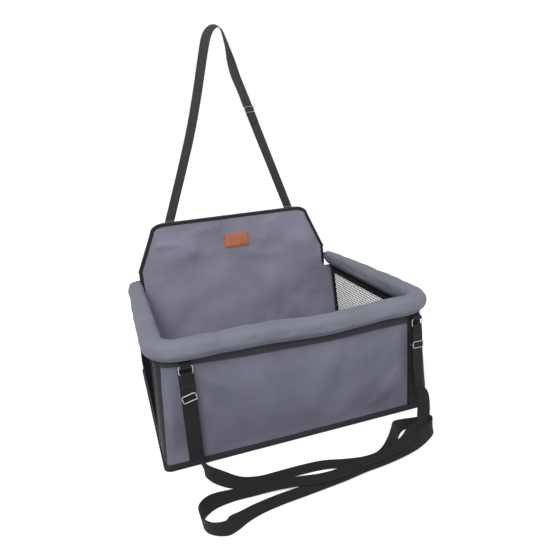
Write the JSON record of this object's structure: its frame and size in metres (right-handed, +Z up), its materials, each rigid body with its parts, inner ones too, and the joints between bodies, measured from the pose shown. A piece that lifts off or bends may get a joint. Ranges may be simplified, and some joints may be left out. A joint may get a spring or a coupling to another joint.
{
  "type": "pet car booster basket",
  "caption": "Open padded travel basket for a small pet, with a tube-framed rim, net side windows, a folding back flap, a headrest strap and a front strap on rings.",
  "frame": {"origin": "middle of the base's underside, on the seat or floor that it stands on", "axes": "+Z up, +X to the right as seen from the front, -Y towards the viewer at the front"},
  "size_m": [0.463, 0.5578, 0.6719],
  "materials": {
    "grey_cloth": "woven polyester, matt",
    "rim_cloth": "woven polyester over foam, matt",
    "black_cloth": "woven polyester, matt",
    "band_cloth": "woven tape, matt",
    "net_thread": "knitted polyester net",
    "black_webbing": "ribbed webbing",
    "grey_webbing": "ribbed webbing",
    "leather": "smooth grained leather patch, bare",
    "steel_wire": "bright plated wire",
    "aluminium": "plain tube",
    "elbow_plastic": "moulded plastic",
    "foam": "open foam",
    "stiff_board": "thin stiffening board"
  },
  "bodies": {
    "basket": {"back_cover": "black_cloth", "back_panel": "grey_cloth", "back_stiffener": "stiff_board", "base_board": "stiff_board", "base_lining": "grey_cloth", "base_panel": "black_cloth", "bottom_binding": "black_cloth", "floor_strap": "black_webbing", "fold_seam": "black_cloth", "front_foam": "foam", "front_frame_tube": "aluminium", "front_left_elbow": "elbow_plastic", "front_lining": "grey_cloth", "front_panel": "grey_cloth", "front_right_elbow": "elbow_plastic", "left_frame_tube": "aluminium", "left_front_strap": "black_webbing", "left_net": "net_thread", "left_reinforcement": "black_webbing", "left_ring_tab": "black_webbing", "left_side_frame": "black_cloth", "rear_frame_tube": "aluminium", "rear_left_elbow": "elbow_plastic", "rear_right_elbow": "elbow_plastic", "rear_sleeve": "black_cloth", "right_frame_tube": "aluminium", "right_front_strap": "black_webbing", "right_net": "net_thread", "right_reinforcement": "black_webbing", "right_ring_tab": "black_webbing", "right_side_frame": "black_cloth", "rim_foam": "foam", "rim_seam_band": "band_cloth", "rim_sleeve": "rim_cloth"},
    "flap": {"flap_panel": "grey_cloth", "flap_stiffener": "stiff_board", "flap_cover": "black_cloth", "flap_binding": "black_cloth", "label_patch": "leather", "left_strap_end": "grey_webbing", "right_strap_end": "grey_webbing"},
    "headrest_loop": {"headrest_strap": "grey_webbing", "headrest_strap_lower": "grey_webbing"},
    "headrest_adjuster": {"headrest_slider": "steel_wire"},
    "left_hanger": {"left_ring": "steel_wire", "left_strap_loop": "black_webbing"},
    "right_hanger": {"right_ring": "steel_wire", "right_strap_loop": "black_webbing"},
    "left_adjuster": {"left_slider": "steel_wire"},
    "right_adjuster": {"right_slider": "steel_wire"}
  },
  "joints": [
    {"name": "flap_fold", "type": "hinge", "parent": "basket", "child": "flap", "pos_m": [0, 0.195, 0.2105], "axis": [1, 0, 0], "range_deg": [-90, 85]},
    {"name": "headrest_strap_swing", "type": "hinge", "parent": "flap", "child": "headrest_loop", "pos_m": [0, 0.1994, 0.309], "axis": [-1, 0, 0], "range_deg": [-90, 90]},
    {"name": "headrest_slider_slide", "type": "slide", "parent": "headrest_loop", "child": "headrest_adjuster", "axis": [-0.3132, 0, 0.9497], "range_m": [-0.05, 0.035]},
    {"name": "left_ring_swing", "type": "hinge", "parent": "basket", "child": "left_hanger", "pos_m": [-0.1765, -0.19344, 0.1655], "axis": [-1, 0, 0], "range_deg": [0, 45], "deforming": ["left_front_strap"]},
    {"name": "right_ring_swing", "type": "hinge", "parent": "basket", "child": "right_hanger", "pos_m": [0.19459, -0.19387, 0.166], "axis": [-0.9903, -0.1392, 0], "range_deg": [0, 45], "deforming": ["right_front_strap"]},
    {"name": "left_slider_slide", "type": "slide", "parent": "left_hanger", "child": "left_adjuster", "axis": [0, 0, 1], "range_m": [-0.04, 0.014]},
    {"name": "right_slider_slide", "type": "slide", "parent": "right_hanger", "child": "right_adjuster", "axis": [0, 0, 1], "range_m": [-0.046, 0.014]}
  ]
}
